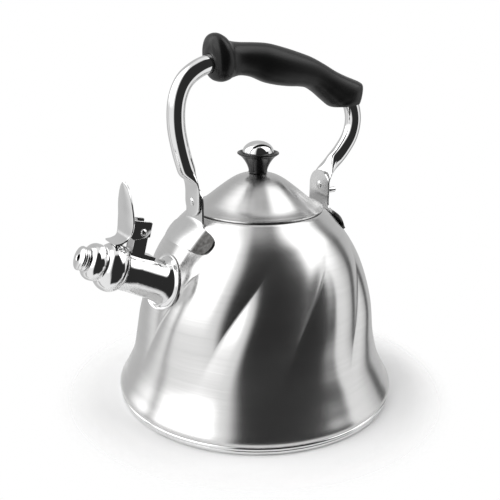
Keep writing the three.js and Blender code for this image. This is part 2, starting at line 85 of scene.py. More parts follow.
class Signal:
    """An output socket that adds Math nodes when it is used in a sum."""

    def __init__(self, graph: "Graph", socket: bpy.types.NodeSocket | None) -> None:
        """Keeps the socket and the graph it belongs to."""
        self.graph = graph
        self.socket = socket

    def math(self, operation: str, *others: "Signal | float") -> "Signal":
        """Adds one Math node that takes this signal and then the others."""
        values = dict(enumerate([self, *others]))
        return self.graph.add("ShaderNodeMath", {"operation": operation}, values)

    def __add__(self, other: "Signal | float") -> "Signal":
        """Adds a signal or a number."""
        return self.math("ADD", other)

    __radd__ = __add__

    def __mul__(self, other: "Signal | float") -> "Signal":
        """Multiplies by a signal or a number."""
        return self.math("MULTIPLY", other)

    __rmul__ = __mul__

    def __sub__(self, other: "Signal | float") -> "Signal":
        """Takes a signal or a number away."""
        return self.math("SUBTRACT", other)

    def __rsub__(self, other: float) -> "Signal":
        """Takes this signal away from a number."""
        return self.math("MULTIPLY", -1.0) + other

    def __truediv__(self, other: "Signal | float") -> "Signal":
        """Divides by a signal or a number."""
        return self.math("DIVIDE", other)

    def between(self, low: float, high: float) -> "Signal":
        """Rises smoothly from 0 at low to 1 at high, or falls where low is above high."""
        settings = {"interpolation_type": "SMOOTHSTEP"}
        inputs = {"Value": self, "From Min": low, "From Max": high}
        return self.graph.add("ShaderNodeMapRange", settings, inputs)


class Graph:
    """A node tree that is written as calls."""

    def __init__(self, tree: bpy.types.NodeTree) -> None:
        """Empties the tree and keeps it."""
        self.tree = tree
        tree.nodes.clear()

    def add(
        self,
        kind: str,
        settings: dict | None = None,
        inputs: dict | None = None,
        output: int | str = 0,
    ) -> Signal:
        """Adds a node.

        Args:
            kind: The node's type.
            settings: Its properties, set first.
            inputs: Values or signals for its sockets, by name or number.
            output: Which output is wanted.

        Returns:
            The output as a signal.
        """
        node = self.tree.nodes.new(kind)
        for name, value in (settings or {}).items():
            setattr(node, name, value)
        for name, value in (inputs or {}).items():
            self.feed(node.inputs[name], value)
        return Signal(self, node.outputs[output] if node.outputs else None)

    def feed(self, socket: bpy.types.NodeSocket, value: object) -> None:
        """Links a signal to a socket, or sets the socket's own value."""
        if isinstance(value, Signal):
            self.tree.links.new(value.socket, socket)
        else:
            socket.default_value = value

    def noise(self, stretch: Place, detail: float = 2.0) -> Signal:
        """Noise on Object coordinates, from 0 to 1.

        Args:
            stretch: How many grains there are to a metre along each axis.
            detail: The number of octaves.

        Returns:
            The noise's value.
        """
        place = self.add("ShaderNodeTexCoord", output="Object")
        placed = self.add("ShaderNodeMapping", inputs={"Vector": place, "Scale": stretch})
        inputs = {"Vector": placed, "Scale": 1.0, "Detail": detail, "Roughness": 0.55}
        return self.add("ShaderNodeTexNoise", {"normalize": True}, inputs)

    def tint(self, share: Signal, first: float, second: float, warmth: float = 0.0) -> Signal:
        """Mixes two greys.

        Args:
            share: How much of the second grey shows.
            first: The first grey.
            second: The second grey.
            warmth: How much redder than blue both are.

        Returns:
            The mixed colour.
        """
        colours = [(grey * (1 + warmth), grey, grey * (1 - warmth), 1.0) for grey in (first, second)]
        inputs = {0: share, 6: colours[0], 7: colours[1]}
        return self.add("ShaderNodeMix", {"data_type": "RGBA"}, inputs, output=2)

    def bump(self, height: Signal, depth: float) -> Signal:
        """Turns a height from 0 to 1, and its depth in metres, into a normal."""
        return self.add("ShaderNodeBump", inputs={"Height": height, "Distance": depth})


# ---- finishes


@dataclass(frozen=True)
class Finish:
    """A finish that every kind below builds on."""

    name: str
    slot: Slot

    def material(self) -> bpy.types.Material:
        """Finds the finish's material, or makes it the first time."""
        found = bpy.data.materials.get(self.name)
        if found:
            return found
        made = bpy.data.materials.new(self.name)
        made.use_nodes = True
        graph = Graph(made.node_tree)
        shader = graph.add("ShaderNodeBsdfPrincipled", inputs=self.sockets(graph))
        graph.add("ShaderNodeOutputMaterial", inputs={"Surface": shader})
        return made

    def sockets(self, graph: Graph) -> dict:
        """The shader's sockets, drawn in a graph, which each kind of finish gives."""
        raise NotImplementedError(graph)

    def dress(self, piece: Piece) -> None:
        """Puts the finish on a piece."""
        piece.data.materials.clear()
        piece.data.materials.append(self.material())


@dataclass(frozen=True)
class BrushedSteel(Finish):
    """Steel with fine lines that run round the Z axis."""

    grey: float = 0.66
    roughness: float = 0.24
    stretch: float = 0.85
    lines: float = 2600.0

    def sockets(self, graph: Graph) -> dict:
        """Lines of uneven shine and depth, and slow drifts of tone."""
        fine = graph.noise((9.0, 9.0, self.lines), 3.0)
        broad = graph.noise((14.0, 14.0, self.lines / 9), 1.0)
        drift = graph.noise((16.0, 16.0, 16.0))
        lines = 0.65 * fine + 0.35 * broad
        shine = self.roughness * (0.76 + 0.32 * lines + 0.16 * drift)
        return {
            "Base Color": graph.tint(lines, self.grey * 0.88, self.grey * 1.12, 0.004),
            "Metallic": 1.0,
            "Roughness": shine,
            "Anisotropic": self.stretch,
            "Anisotropic Rotation": 0.25,
            "Normal": graph.bump(lines, 0.000008),
        }


@dataclass(frozen=True)
class MirrorSteel(Finish):
    """Polished plate, with a faint ripple and dull patches."""

    grey: float = 0.78
    roughness: float = 0.05
    ripple: float = 0.00003

    def sockets(self, graph: Graph) -> dict:
        """A slow ripple in the shape and cloudy handling marks in the shine."""
        ripple = graph.noise((110.0, 110.0, 110.0), 1.0)
        cloud = graph.noise((60.0, 60.0, 60.0), 4.0).between(0.45, 0.8)
        scratch = graph.noise((900.0, 60.0, 260.0), 3.0).between(0.62, 0.75)
        return {
            "Base Color": graph.tint(cloud, self.grey, self.grey * 0.9),
            "Metallic": 1.0,
            "Roughness": self.roughness + 0.05 * cloud + 0.06 * scratch,
            "Normal": graph.bump(ripple, self.ripple),
        }


@dataclass(frozen=True)
class WeldTintAndPaintedReflectionSheet(MirrorSteel):
    """Satin sheet with a painted dark reflection at the near end of its foot, mottled partly like weld
    tint.
    """

    start: float = 0.0165
    full: float = 0.0205
    # The grey of the painted dark reflection, with some weld tint, at the foot's near end.
    dark: float = 0.06

    def sockets(self, graph: Graph) -> dict:
        """The satin sheet, with its near end painted dark as a reflection and mottled like weld tint.
        """
        plain = super().sockets(graph)
        place = graph.add("ShaderNodeTexCoord", output="Object")
        split = {"Vector": place}
        side = graph.add("ShaderNodeSeparateXYZ", inputs=split, output="Y") * -1.0
        high = graph.add("ShaderNodeSeparateXYZ", inputs=split, output="Z")
        # Painted dark reflection: the mask takes only the camera-side end of the foot, with a mottle
        # for weld tint.
        end = side.between(self.start, self.full) * high.between(0.1475, 0.1445)
        mottle = graph.noise((420.0, 420.0, 420.0), 3.0)
        inputs = {0: end * (0.8 + 0.3 * mottle), 6: plain["Base Color"]}
        inputs[7] = (self.dark * 1.03, self.dark, self.dark * 0.96, 1.0)
        plain["Base Color"] = graph.add("ShaderNodeMix", {"data_type": "RGBA"}, inputs, output=2)
        plain["Roughness"] = plain["Roughness"] + 0.2 * end
        return plain


@dataclass(frozen=True)
class Plastic(Finish):
    """Moulded black plastic with a fine grain."""

    grey: float = 0.006
    roughness: float = 0.3
    grain: float = 1400.0
    depth: float = 0.00003
    shine: float = 0.32

    def sockets(self, graph: Graph) -> dict:
        """A fine moulded grain, with patches rubbed smoother by hands."""
        grain = graph.noise((self.grain, self.grain, self.grain), 2.0)
        rubbed = graph.noise((28.0, 28.0, 28.0), 3.0).between(0.4, 0.7)
        return {
            "Base Color": graph.tint(rubbed, self.grey, self.grey * 1.5),
            "Roughness": self.roughness * (1.0 - 0.22 * rubbed) + 0.1 * grain,
            "Specular IOR Level": self.shine,
            "Normal": graph.bump(grain, self.depth),
        }


@dataclass(frozen=True)
class DullMetal(Finish):
    """Unpolished metal, such as the core and the spring."""

    grey: float = 0.45
    roughness: float = 0.42
    grain: float = 700.0

    def sockets(self, graph: Graph) -> dict:
        """A grainy tone and shine."""
        grain = graph.noise((self.grain, self.grain, self.grain), 4.0)
        return {
            "Base Color": graph.tint(grain, self.grey * 0.7, self.grey * 1.25),
            "Metallic": 1.0,
            "Roughness": self.roughness * (0.75 + 0.5 * grain),
            "Normal": graph.bump(grain, 0.00006),
        }


@dataclass(frozen=True)
class StudioFloor(Finish):
    """A pale sheet of paper whose edge melts into the light."""

    full: float = 0.12
    gone: float = 0.165

    def sockets(self, graph: Graph) -> dict:
        """A nearly white, matt surface that fades with the distance from the kettle."""
        mottle = graph.noise((6.0, 6.0, 6.0))
        place = graph.add("ShaderNodeTexCoord", output="Object")
        away = graph.add("ShaderNodeVectorMath", {"operation": "LENGTH"}, {0: place}, output=1)
        return {
            "Base Color": graph.tint(mottle, 0.92, 0.94),
            "Roughness": 0.9,
            "Alpha": away.between(self.gone, self.full),
        }


BODY_FINISH = BrushedSteel("brushed_body_steel", Slot.BODY)
LID_FINISH = BrushedSteel("brushed_lid_steel", Slot.LID, grey=0.62)
CHROME = MirrorSteel("mirror_steel", Slot.POLISHED)
# The near end of each bracket's foot carries a painted dark reflection, partly weld tint.
SHEET_FINISH = WeldTintAndPaintedReflectionSheet("satin_sheet_steel", Slot.POLISHED, grey=0.7, roughness=0.2)
SPRING_FINISH = DullMetal("spring_wire", Slot.SPRING, grey=0.5, roughness=0.3)
CORE_FINISH = DullMetal("core_aluminium", Slot.CORE, grey=0.6, roughness=0.5)
GRIP_FINISH = Plastic("satin_grip_plastic", Slot.GRIP)
KNOB_FINISH = Plastic("gloss_knob_plastic", Slot.KNOB, roughness=0.16, depth=0.00001, shine=0.5)


# ---- outlines


def hermite(start: Vector, end: Vector, leave: Vector, arrive: Vector, steps: int) -> list[Vector]:
    """Draws one smooth span.

    Args:
        start: Its first point.
        end: Its last point.
        leave: The slope at the start.
        arrive: The slope at the end.
        steps: How many steps it has.

    Returns:
        The span's points without its end.
    """
    return [
        (2 * t**3 - 3 * t**2 + 1) * start
        + (t**3 - 2 * t**2 + t) * leave
        + (3 * t**2 - 2 * t**3) * end
        + (t**3 - t**2) * arrive
        for t in (step / steps for step in range(steps))
    ]


def curve_through(points: Iterable[Pair], per_span: int) -> Outline:
    """Draws a smooth curve through points.

    Args:
        points: The points it passes through.
        per_span: How many steps there are from one point to the next.

    Returns:
        The curve's points, both ends included.
    """
    given = [Vector(point) for point in points]
    padded = [given[0], *given, given[-1]]
    drawn = []
    for i in range(len(given) - 1):
        before, start, end, after = padded[i : i + 4]
        drawn += hermite(start, end, (end - before) / 2, (after - start) / 2, per_span)
    drawn.append(given[-1])
    return [tuple(point) for point in drawn]


def arc(centre: Pair, radius: float, start: float, end: float, steps: int = 8) -> Outline:
    """Draws an arc.

    Args:
        centre: Its centre.
        radius: Its radius.
        start: The angle it starts at, in degrees.
        end: The angle it ends at, in degrees.
        steps: How many straight steps it has.

    Returns:
        The arc's points, both ends included.
    """
    angles = [math.radians(start + (end - start) * i / steps) for i in range(steps + 1)]
    return [
        (centre[0] + radius * math.cos(angle), centre[1] + radius * math.sin(angle))
        for angle in angles
    ]


def beside(outline: Outline, distance: float) -> Outline:
    """Moves an open outline sideways, to its right as it is walked.

    Args:
        outline: The outline.
        distance: How far to move it, negative for the left.

    Returns:
        The moved outline.
    """
    moved = []
    for i, (u, v) in enumerate(outline):
        before, after = outline[max(i - 1, 0)], outline[min(i + 1, len(outline) - 1)]
        along = Vector((after[0] - before[0], after[1] - before[1])).normalized()
        moved.append((u + along.y * distance, v - along.x * distance))
    return moved


def smooth(value: float, low: float, high: float) -> float:
    """Rises smoothly from 0 at low to 1 at high."""
    t = min(max((value - low) / (high - low), 0.0), 1.0)
    return t * t * (3 - 2 * t)


def value_at(table: Outline, key: float) -> float:
    """Reads a table of rising keys and values at a key, in straight steps."""
    for (k0, v0), (k1, v1) in zip(table, table[1:]):
        if key <= k1:
            share = max((key - k0) / (k1 - k0), 0.0) if k1 > k0 else 1.0
            return v0 + (v1 - v0) * share
    return table[-1][1]


# ---- the bench


def pick_only(piece: Piece) -> None:
    """Makes a piece the only one that is selected, and the active one."""
    bpy.ops.object.select_all(action="DESELECT")
    piece.select_set(True)
    bpy.context.view_layer.objects.active = piece


def start_piece(name: str) -> Piece:
    """Names the primitive just added and settles it at the origin."""
    piece = bpy.context.object
    piece.name = name
    piece.data.name = name
    bpy.ops.object.transform_apply(location=True, rotation=True, scale=True)
    return piece


def with_modifier(piece: Piece, kind: str, **settings: object) -> None:
    """Adds a modifier to a piece and applies it.

    Args:
        piece: The piece.
        kind: The modifier's type.
        settings: The modifier's own properties.
    """
    pick_only(piece)
    modifier = piece.modifiers.new(kind.lower(), kind)
    for name, value in settings.items():
        setattr(modifier, name, value)
    bpy.ops.object.modifier_apply(modifier=modifier.name)


@contextmanager
def editing() -> Iterator[None]:
    """Enters edit mode with all of the active piece selected, and leaves it again."""
    bpy.ops.object.mode_set(mode="EDIT")
    bpy.ops.mesh.select_all(action="SELECT")
    yield
    bpy.ops.object.mode_set(mode="OBJECT")


def put(piece: Piece, turn: tuple[float, float], place: Iterable[float]) -> None:
    """Turns and moves a piece, and applies both to its mesh.

    Args:
        piece: The piece.
        turn: Its turns about X and Y in degrees.
        place: Where its origin goes, in millimetres.
    """
    pick_only(piece)
    piece.rotation_euler = (math.radians(turn[0]), math.radians(turn[1]), 0)
    piece.location = Vector(place) * MM
    bpy.ops.object.transform_apply(location=True, rotation=True, scale=True)


def close_up(piece: Piece) -> None:
    """Merges a piece's doubles and turns its faces outwards."""
    pick_only(piece)
    with editing():
        bpy.ops.mesh.remove_doubles(threshold=SAME_PLACE)
        bpy.ops.mesh.normals_make_consistent(inside=False)


def reshape(piece: Piece, place: Callable[[Vector], Iterable[float]]) -> None:
    """Moves every vertex of a piece.

    Args:
        piece: The piece.
        place: Gives a vertex's new place from its old one, both in millimetres.
    """
    for vertex in piece.data.vertices:
        vertex.co = Vector(place(vertex.co / MM)) * MM
    piece.data.update()


def spun(name: str, outline: Outline, steps: int, closed: bool = False) -> Piece:
    """Draws an outline with extrusions and spins it about Z.

    Args:
        name: The piece's name.
        outline: Its outline, as radius and height.
        steps: How many sides it gets.
        closed: Whether the outline's end joins its start.

    Returns:
        The piece.
    """
    points = [Vector((u, 0.0, v)) * MM for u, v in [*outline, *(outline[:1] if closed else [])]]
    bpy.ops.object.select_all(action="DESELECT")
    bpy.ops.mesh.primitive_plane_add(size=MM, location=points[0])
    piece = start_piece(name)
    with editing():
        bpy.ops.mesh.merge(type="CENTER")
        for start, end in zip(points, points[1:]):
            bpy.ops.mesh.extrude_region_move(TRANSFORM_OT_translate={"value": end - start})
        bpy.ops.mesh.select_all(action="SELECT")
        bpy.ops.mesh.spin(steps=steps, angle=2 * math.pi, center=(0, 0, 0), axis=(0, 0, 1))
    close_up(piece)
    return piece


def ringed(
    name: str, sides: int, steps: int, place: Callable[[float, float], Iterable[float]]
) -> Piece:
    """Extrudes a ring of vertices into a tube and puts each ring in its place.

    Args:
        name: The piece's name.
        sides: How many vertices a ring has.
        steps: How many times it is extruded.
        place: Gives a vertex's place in millimetres from the share of the way along, 0 to 1,
            and its angle round the ring.

    Returns:
        The piece, its two ends closed.
    """
    bpy.ops.object.select_all(action="DESELECT")
    bpy.ops.mesh.primitive_circle_add(vertices=sides, radius=MM, fill_type="NGON")
    piece = start_piece(name)
    with editing():
        for _ in range(steps):
            bpy.ops.mesh.extrude_region_move(TRANSFORM_OT_translate={"value": (0, 0, MM)})
    reshape(piece, lambda at: place(at.z / steps, math.atan2(at.y, at.x)))
    close_up(piece)
    return piece


def sheet_of(
    name: str, columns: int, rows: int, place: Callable[[float, float], Iterable[float]]
) -> Piece:
    """Shapes a grid of faces into a sheet.

    Args:
        name: The piece's name.
        columns: How many faces it has across.
        rows: How many faces it has up.
        place: Gives a vertex's place in millimetres from its shares across and up, 0 to 1.

    Returns:
        The sheet, one face thick.
    """
    bpy.ops.object.select_all(action="DESELECT")
    bpy.ops.mesh.primitive_grid_add(x_subdivisions=columns, y_subdivisions=rows, size=MM)
    piece = start_piece(name)
    reshape(piece, lambda at: place(at.x + 0.5, at.y + 0.5))
    return piece


def plate_of(name: str, outline: Outline, low: float, high: float) -> Piece:
    """Extrudes a flat outline drawn in the XZ plane across Y.

    Args:
        name: The piece's name.
        outline: The outline, as x and z.
        low: The Y it starts at.
        high: The Y it ends at.

    Returns:
        The plate.
    """
    bpy.ops.object.select_all(action="DESELECT")
    bpy.ops.mesh.primitive_circle_add(vertices=len(outline), radius=MM, fill_type="NGON")
    piece = start_piece(name)
    for vertex, (x, z) in zip(piece.data.vertices, outline):
        vertex.co = Vector((x, low, z)) * MM
    with editing():
        move = {"value": (0, (high - low) * MM, 0)}
        bpy.ops.mesh.extrude_region_move(TRANSFORM_OT_translate=move)
    close_up(piece)
    return piece


def cut_with(piece: Piece, tool: Piece, how: str = "DIFFERENCE") -> None:
    """Cuts a piece with a tool, or adds the tool to it, and throws the tool away."""
    with_modifier(piece, "BOOLEAN", operation=how, object=tool, solver="EXACT")
    bpy.data.objects.remove(tool, do_unlink=True)


def shade(piece: Piece, sharp: float = 32.0) -> None:
    """Shades a piece smooth, apart from edges sharper than an angle in degrees."""
    pick_only(piece)
    bpy.ops.object.shade_smooth_by_angle(angle=math.radians(sharp))


def soften(piece: Piece, width: float, segments: int = 3, sharp: float = 35.0) -> None:
    """Rounds the sharp edges of a piece."""
    with_modifier(
        piece,
        "BEVEL",
        width=width * MM,
        segments=segments,
        limit_method="ANGLE",
        angle_limit=math.radians(sharp),
        use_clamp_overlap=True,
    )


def settle(
    piece: Piece,
    mover: Mover,
    finish: Finish,
    stands_for: Iterable[str] = (),
    lift: float = LIFT,
) -> None:
    """Finishes a piece: its height, shading, finish, body and the nodes it stands for.

    Args:
        piece: The piece, drawn from the level of the body's edge.
        mover: The body it rides on.
        finish: Its finish.
        stands_for: The nodes it replaces.
        lift: How far it is raised, for the depth of the pan.
    """
    put(piece, (0, 0), (0, 0, lift))
    shade(piece)
    finish.dress(piece)
    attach(piece, mover.value)
    if stands_for:
        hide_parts(*stands_for)
    LOG.info("%s: %d faces, on %s", piece.name, len(piece.data.polygons), mover.value)


def dress_node(node: str, finish: Finish) -> None:
    """Gives a node that stays its finish."""
    finish.dress(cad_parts[node])
    LOG.info("%s keeps its own mesh", node)


# ---- body


@dataclass
class Body:
    """The fluted bell, its rolled rim and the pan under it."""

    rim_radius: float = 110.0
    height: float = 147.0
    mouth_radius: float = 46.0
    sheet: float = 1.0
    sides: int = 300
    curve_steps: int = 9
    curve: Outline = field(
        default_factory=lambda: [
            (110, 4.6), (109.5, 8), (104.6, 17), (98.2, 32), (94.8, 52), (90.5, 80),
            (79.9, 110), (66, 132), (51.4, 146.6),
        ]
    )
    flutes: int = 10
    flute_depth: float = 3.2
    flute_wall: float = 0.4
    flute_low: float = 28.0
    flute_high: float = 130.0
    flute_fade: float = 1.3
    flute_phase: float = -1.0
    twist_low: float = 50.0
    twist_span: float = 82.0
    twist_turn: float = 19.8
    twist_gain: float = 14.2
    nudge: float = 1e-6

    def depth(self, turn: float, height: float) -> float:
        """How deep the flutes are.

        Args:
            turn: The place round the body, in flutes.
            height: The height.

        Returns:
            The depth, deepest at a crisp line that the wall rises from faster than it falls to.
        """
        across = turn - math.floor(turn)
        wall = self.flute_wall
        section = max(1 - across / wall, (across - wall) / (1 - wall)) ** 2
        span = self.flute_high - self.flute_low
        along = min(max((height - self.flute_low) / span, 0.0), 1.0)
        return self.flute_depth * section * math.sin(math.pi * along) ** self.flute_fade

    def twist(self, height: float) -> float:
        """How far the flutes have turned at a height, in radians."""
        along = min(max((height - self.twist_low) / self.twist_span, -0.5), 1.0)
        turned = self.twist_turn * along + self.twist_gain * along**2
        return math.radians(turned + self.flute_phase)

    def flute(self, at: Vector) -> Place:
        """Presses the flutes into a point of the plain bell."""
        angle = math.atan2(at.y, at.x)
        turn = angle * self.flutes / (2 * math.pi) + self.nudge
        radius = math.hypot(at.x, at.y) - self.depth(turn, at.z)
        turned = angle + self.twist(at.z)
        return radius * math.cos(turned), radius * math.sin(turned), at.z

    def outer(self) -> Outline:
        """The bell's outer outline, from the rim up."""
        return curve_through(self.curve, self.curve_steps)

    def radius_at(self, height: float) -> float:
        """The plain bell's radius at a height."""
        return value_at([(z, r) for r, z in self.outer()], height)

    def surface(self, angle: float, height: float) -> float:
        """The fluted bell's radius at an angle and a height."""
        turn = (angle - self.twist(height)) * self.flutes / (2 * math.pi)
        return self.radius_at(height) - self.depth(turn, height)

    def build(self, spout: "Spout") -> None:
        """Makes the shell, with its mouth ledge and the hole behind the spout."""
        outer = self.outer()
        mouth = self.mouth_radius
        ledge = self.height - self.sheet
        low = [(self.rim_radius - 1.6, 3.9), *arc((self.rim_radius - 0.8, 4.5), 0.6, -110, -10, 5)]
        collar = [
            *arc((50.4, self.height - 0.4), 0.4, 60, 90, 3),
            *arc((mouth + 0.3, self.height - 0.8), 0.8, 90, 180, 6),
            (mouth - 0.5, self.height - 5.5),
            (mouth + 0.5, self.height - 5.5),
            (mouth + 0.5, ledge),
            (49.9, ledge),
        ]
        inner = beside(outer, -self.sheet)[2:-2][::-1]
        shell = spun("body_bell", [*low, *outer[1:], *collar, *inner], self.sides, closed=True)
        reshape(shell, self.flute)
        bore = spun("spout_bore", [(0, -14), (13, -14), (13, 14), (0, 14)], 64)
        spout.align(bore)
        cut_with(shell, bore)
        settle(shell, Mover.KETTLE, BODY_FINISH, ["body_shell"])
        self.build_base()

    def build_base(self) -> None:
        """Makes the pan's beaded edge, and dresses what lies inside it."""
        edge = self.rim_radius
        pan = [
            (0, 0), (edge - 3.0, 0), *arc((edge - 1.9, 1.1), 1.1, -90, -10, 6),
            (edge - 0.85, 2.3), *arc((edge - 1.9, 4.4), 1.7, -62, 62, 12),
            (edge - 1.3, 6.3), (edge - 2.2, 6.3), (edge - 2.2, 1.0), (0, 1.0),
        ]
        settle(spun("base_pan", pan, 240), Mover.KETTLE, CHROME, ["base_cap"], lift=0.0)
        dress_node("base_core", CORE_FINISH)
        dress_node("base_floor", BODY_FINISH)


# ---- spout


@dataclass
class Spout:
    """The spout tube and the hinge bracket on its top."""

    root: Place = (-75.0, 0.0, 97.9)
    rise: float = 25.2
    radius: float = 14.0
    end: float = 44.0
    hinge: Pair = (41.0, 30.6)
    flange: float = 21.0
    foot_reach: float = 17.0
    ear_inside: float = 4.6
    ear_outside: float = 5.8
    gap: float = 0.3

    def align(self, piece: Piece) -> None:
        """Turns a piece made about Z onto the spout's axis."""
        put(piece, (0, self.rise - 90), self.root)

    def place(self, along: float, above: float) -> Pair:
        """A place by its distance along the spout's axis and above it, as x and z."""
        c, s = math.cos(math.radians(self.rise)), math.sin(math.radians(self.rise))
        return self.root[0] - along * c + above * s, self.root[2] + along * s + above * c

    def spot(self, angle: float, radius: float, along: float) -> Vector:
        """A place by its angle round the spout's axis, and its distances from and along it."""
        x, z = self.place(along, -radius * math.cos(angle))
        return Vector((x, radius * math.sin(angle), z))

    def meets(self, body: Body, angle: float, radius: float, gap: float) -> float:
        """How far along the axis a line beside it comes out of the body.

        Args:
            body: The body.
            angle: The line's angle round the axis.
            radius: Its distance from the axis.
            gap: How far outside the body it stops.

        Returns:
            The distance along the axis.
        """
        low, high = -25.0, 30.0
        for _ in range(30):
            middle = (low + high) / 2
            at = self.spot(angle, radius, middle)
            wall = body.surface(math.atan2(at.y, at.x), at.z) + gap
            low, high = (middle, high) if math.hypot(at.x, at.y) < wall else (low, middle)
        return low

    def build(self, body: Body) -> None:
        """Makes the tube, with a beaded foot that follows the body."""
        flange = self.flange
        bead = [*arc((flange - 0.9, 1.1), 0.9, -60, 120, 7), (flange - 2.4, 1.1)]
        swell = [(18.6, 1.5), (17.2, 3), (16.4, 6), (15.8, 10), (15.1, 17), (14.4, 26), (14, 34)]
        flare = curve_through(swell, 5)
        lip = arc((self.radius - 0.5, self.end - 0.5), 0.5, 0, 180, 6)
        bore = [(13, 17), (16.4, 3.0), (flange - 2.6, 0.2)]
        tube = spun("spout_tube_piece", [*bead, *flare, *lip, *bore], 72, closed=True)
        settled: dict[float, float] = {}

        def follow(at: Vector) -> Place:
            """Slides the flared part along the axis until it sits on the body."""
            angle = math.atan2(at.y, at.x)
            key = round(math.degrees(angle), 1)
            if key not in settled:
                turned = math.atan2(at.y, -at.x)
                settled[key] = self.meets(body, turned, flange, self.gap)
            share = 1 - smooth(at.z, 0.0, self.foot_reach)
            return at.x, at.y, at.z + share * settled[key]

        reshape(tube, follow)
        self.align(tube)
        settle(tube, Mover.KETTLE, CHROME, ["spout_tube"])
        self.build_bracket()
        dress_node("hinge_spring", SPRING_FINISH)

    def build_bracket(self) -> None:
        """Makes the bracket from its saddle and two ears."""
        side = [(33, 14), (43, 14), *arc(self.hinge, 5, -10, 190, 20)]
        outline = [self.place(*point) for point in side]
        bracket = plate_of("hinge_bracket", outline, self.ear_inside, self.ear_outside)
        ear = plate_of("ear", outline, -self.ear_outside, -self.ear_inside)
        cut_with(bracket, ear, "UNION")
        saddle = [self.place(*point) for point in [(24, 12), (43, 12), (43, 16), (24, 16)]]
        cut_with(bracket, plate_of("saddle", saddle, -self.ear_outside, self.ear_outside), "UNION")
        room = self.radius + self.gap
        tube = spun("tube_space", [(0, 10), (room, 10), (room, 50), (0, 50)], 96)
        self.align(tube)
        cut_with(bracket, tube)
        soften(bracket, 0.25)
        settle(bracket, Mover.KETTLE, CHROME, ["spout_bracket"])
        self.build_pin()

    def build_pin(self) -> None:
        """Makes the pin with its two domed heads."""
        head = [(1.7, 7.7), (2.5, 7.7), *arc((0, 5.9), 3.05, 30, 85, 8), (0, 8.95)]
        tail = [(r, -y) for r, y in head][::-1]
        pin = spun("hinge_rivet", [*tail, *head], 32)
        x, z = self.place(*self.hinge)
        put(pin, (-90, 0), (x, 0, z))
        settle(pin, Mover.KETTLE, CHROME, ["hinge_pin"])


# ---- whistle


@dataclass
class Whistle:
    """The cap that flips up, its tip and its thumb lever."""

    spout: Spout
    lever_x: float = -109.5
    lever_top: float = 178.5
    lever_sheet: float = 1.2
    cheek_outside: float = 7.4

    def build(self) -> None:
        """Makes the cap and the tip, then the lever."""
        outside = [
            *curve_through([(14.4, 44.5), (16.2, 46), (17.3, 48.6), (17.6, 51.5), (16.9, 55),
                            (15, 58), (12.9, 60), (12.6, 61.4)], 5)[:-1],
            *curve_through([(12.6, 61.4), (13.0, 63), (13.1, 65), (12.9, 67), (11.7, 69.3),
                            (9.6, 70.7)], 5),
            (2.6, 70.9),
        ]
        inside = curve_through([(2.6, 70), (9.1, 69.9), (12, 66.5), (11.7, 61.6), (14.2, 57.4),
                                (16.7, 51.4), (15.4, 46.6), (13.6, 44.5)], 4)
        cap = spun("whistle_dome", [*outside, *inside], 96, closed=True)
        self.spout.align(cap)
        soften(cap, 0.2, 2, 50)
        settle(cap, Mover.WHISTLE, CHROME, ["whistle_cap"])
        rims = [
            (2.3, 71.0), (7.4, 71.0), *arc((7.3, 72.4), 1.2, -60, 60, 7),
            (7.5, 73.8), *arc((7.2, 75.2), 1.3, -60, 70, 8), (6.6, 76.9), (2.9, 77), (2.3, 76.6),
        ]
        tip = spun("whistle_nose", rims, 64, closed=True)
        self.spout.align(tip)
        settle(tip, Mover.WHISTLE, CHROME, ["whistle_tip"])
        for node in ("whistle_plate_rear", "whistle_plate_front"):
            dress_node(node, CHROME)
        self.build_lever()

    def build_lever(self) -> None:
        """Makes the tongue, bent forwards over the cap, and the cheeks that hold it on the pin."""
        x, top = self.lever_x, self.lever_top
        line = Path([(x - 11.5, 137.6), (x - 7, 137.9), (x - 3, 139.8), (x - 0.7, 144),
                     (x, 150), (x, 163), (x, top)])
        edge = curve_through([(136, 7.6), (140, 9.3), (145, 12), (151, 13), (158, 12.7),
                              (164, 11.6), (168, 10.2), (172, 8.4), (175, 6.4), (177.4, 3.6),
                              (top, 0.3)], 6)

        def place(across: float, up: float) -> Place:
            """Places a vertex of the tongue."""
            share = math.sin(up * math.pi / 2) ** 0.9
            at = line.at(share)
            half = value_at(edge, at.y) if at.y > 138.5 else 9.0
            dish = 0.9 * (2 * across - 1) ** 2 * smooth(at.y, 142, 156)
            return at.x + dish, (2 * across - 1) * half, at.y

        lever = sheet_of("thumb_lever", 20, 90, place)
        close_up(lever)
        with_modifier(lever, "SOLIDIFY", thickness=self.lever_sheet * MM, offset=0.0)
        close_up(lever)
        soften(lever, 0.35)
        settle(lever, Mover.WHISTLE, CHROME, ["whistle_lever"])
        cheek = [(x + 0.5, 153.6), (x + 16.0, 149.9), *arc((x + 16.4, 148.6), 1.0, 70, 0, 4),
                 (x + 15.1, 138.9), (x + 2.7, 138.6), (x + 0.5, 141)]
        for side, name in ((-1, "near_cheek"), (1, "far_cheek")):
            inside = self.cheek_outside - self.lever_sheet
            low, high = sorted((side * self.cheek_outside, side * inside))
            plate = plate_of(name, cheek, low, high)
            soften(plate, 0.3)
            settle(plate, Mover.WHISTLE, CHROME)


# ---- lid


